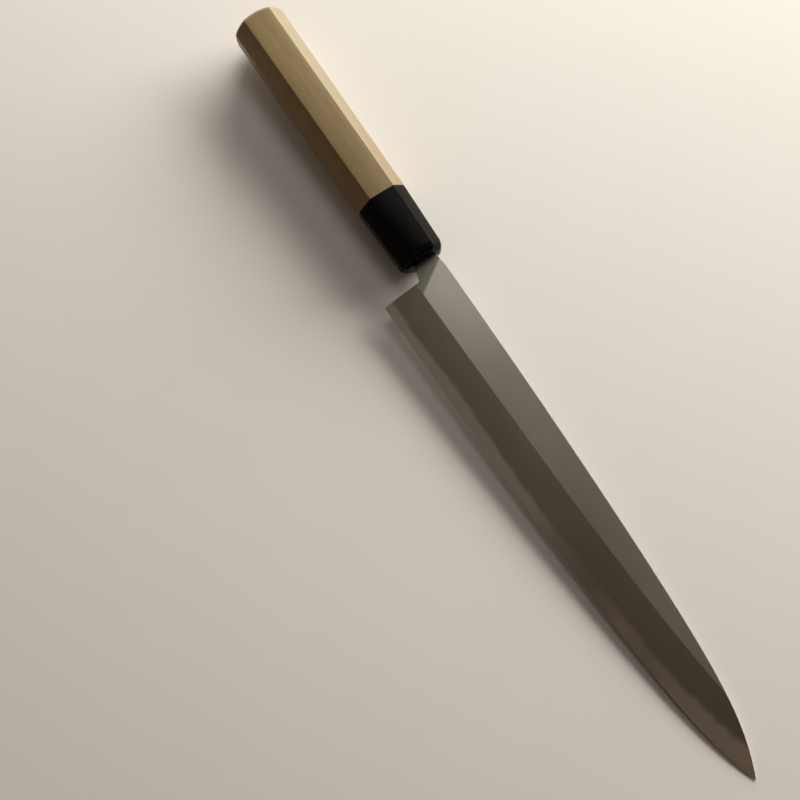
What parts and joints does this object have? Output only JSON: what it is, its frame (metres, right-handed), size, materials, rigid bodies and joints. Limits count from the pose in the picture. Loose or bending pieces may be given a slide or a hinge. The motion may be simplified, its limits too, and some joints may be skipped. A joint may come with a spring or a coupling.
{
  "type": "slicing knife",
  "caption": "Long single-bevel slicing knife with a laminated steel blade, octagonal wooden handle and horn ferrule.",
  "frame": {"origin": "under the middle of the whole knife's box, on the surface that it lies on with its bevelled face up", "axes": "+X from the handle to the tip, +Y from the cutting edge to the spine, +Z out of the bevelled face"},
  "size_m": [0.4098, 0.0392, 0.0219],
  "materials": {
    "soft_iron": "satin, finely hazed bevel",
    "hard_steel": "misty polish, fine edge-parallel lines",
    "magnolia_wood": "sanded, unvarnished",
    "buffalo_horn": "polished"
  },
  "bodies": {
    "root": {"blade_cladding": "soft_iron", "edge_steel": "hard_steel", "handle_body": "magnolia_wood", "horn_ferrule": "buffalo_horn"}
  },
  "joints": []
}
